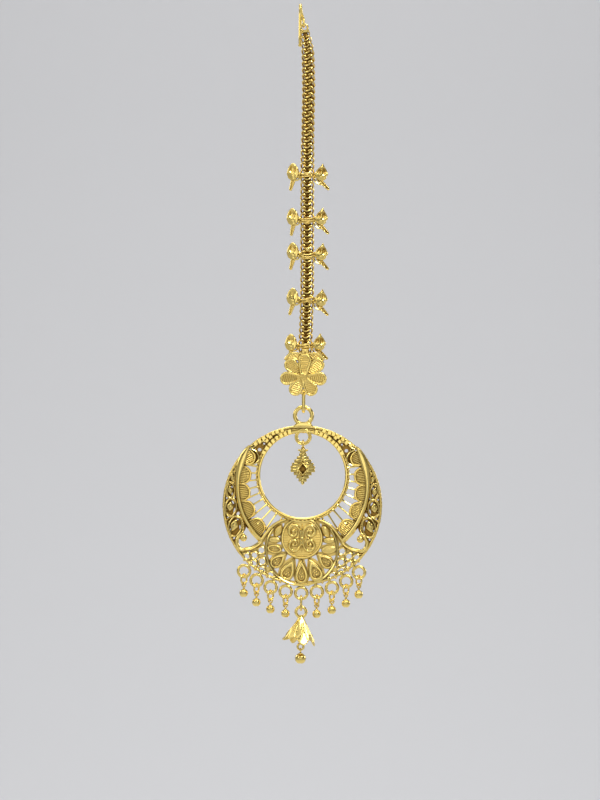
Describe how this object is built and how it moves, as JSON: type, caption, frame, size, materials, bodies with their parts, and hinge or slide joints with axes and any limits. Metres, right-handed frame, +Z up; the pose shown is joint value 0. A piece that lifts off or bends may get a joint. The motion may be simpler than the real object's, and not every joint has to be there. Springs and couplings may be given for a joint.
{
  "type": "maang tikka forehead ornament",
  "caption": "Gold-tone forehead ornament: a woven chain on a hair hook ends in a flower and a swinging filigree crescent pendant with small hanging drops.",
  "frame": {"origin": "underside of the hair hook's bend, where the ornament bears on the hair or a pin", "axes": "+Z up along the hanging chain, +X to the right in the front view, the ornament's front faces -Y"},
  "size_m": [0.04, 0.0077, 0.165],
  "materials": {
    "gold_plate": "gold-plated brass, bright on raised edges, satin in the stamped and filigree areas"
  },
  "bodies": {
    "chain_body": {"hair_hook": "gold_plate", "chain": "gold_plate", "side_charm_1": "gold_plate", "side_charm_2": "gold_plate", "side_charm_3": "gold_plate", "side_charm_4": "gold_plate", "side_charm_5": "gold_plate", "chain_flower": "gold_plate"},
    "link_body": {"pendant_link": "gold_plate"},
    "pendant_body": {"crescent": "gold_plate", "diamond_drop": "gold_plate", "drop_ring_1": "gold_plate", "drop_ring_2": "gold_plate", "drop_ring_3": "gold_plate", "drop_ring_4": "gold_plate", "drop_ring_5": "gold_plate", "drop_ring_6": "gold_plate", "drop_ring_7": "gold_plate", "drop_ring_8": "gold_plate", "drop_ball_1": "gold_plate", "drop_ball_2": "gold_plate", "drop_ball_3": "gold_plate", "drop_ball_4": "gold_plate", "drop_ball_5": "gold_plate", "drop_ball_6": "gold_plate", "drop_ball_7": "gold_plate", "drop_ball_8": "gold_plate", "bell_link": "gold_plate", "bell_drop": "gold_plate", "bell_ball": "gold_plate"}
  },
  "joints": [
    {"name": "pendant_sway", "type": "hinge", "parent": "chain_body", "child": "link_body", "pos_m": [0.002, 0.00035, -0.0954], "axis": [0, 1, 0], "range_deg": [-60, 60]},
    {"name": "pendant_swing", "type": "hinge", "parent": "link_body", "child": "pendant_body", "pos_m": [0.002, 0.00035, -0.09996], "axis": [1, 0, 0], "range_deg": [-90, 90]}
  ]
}
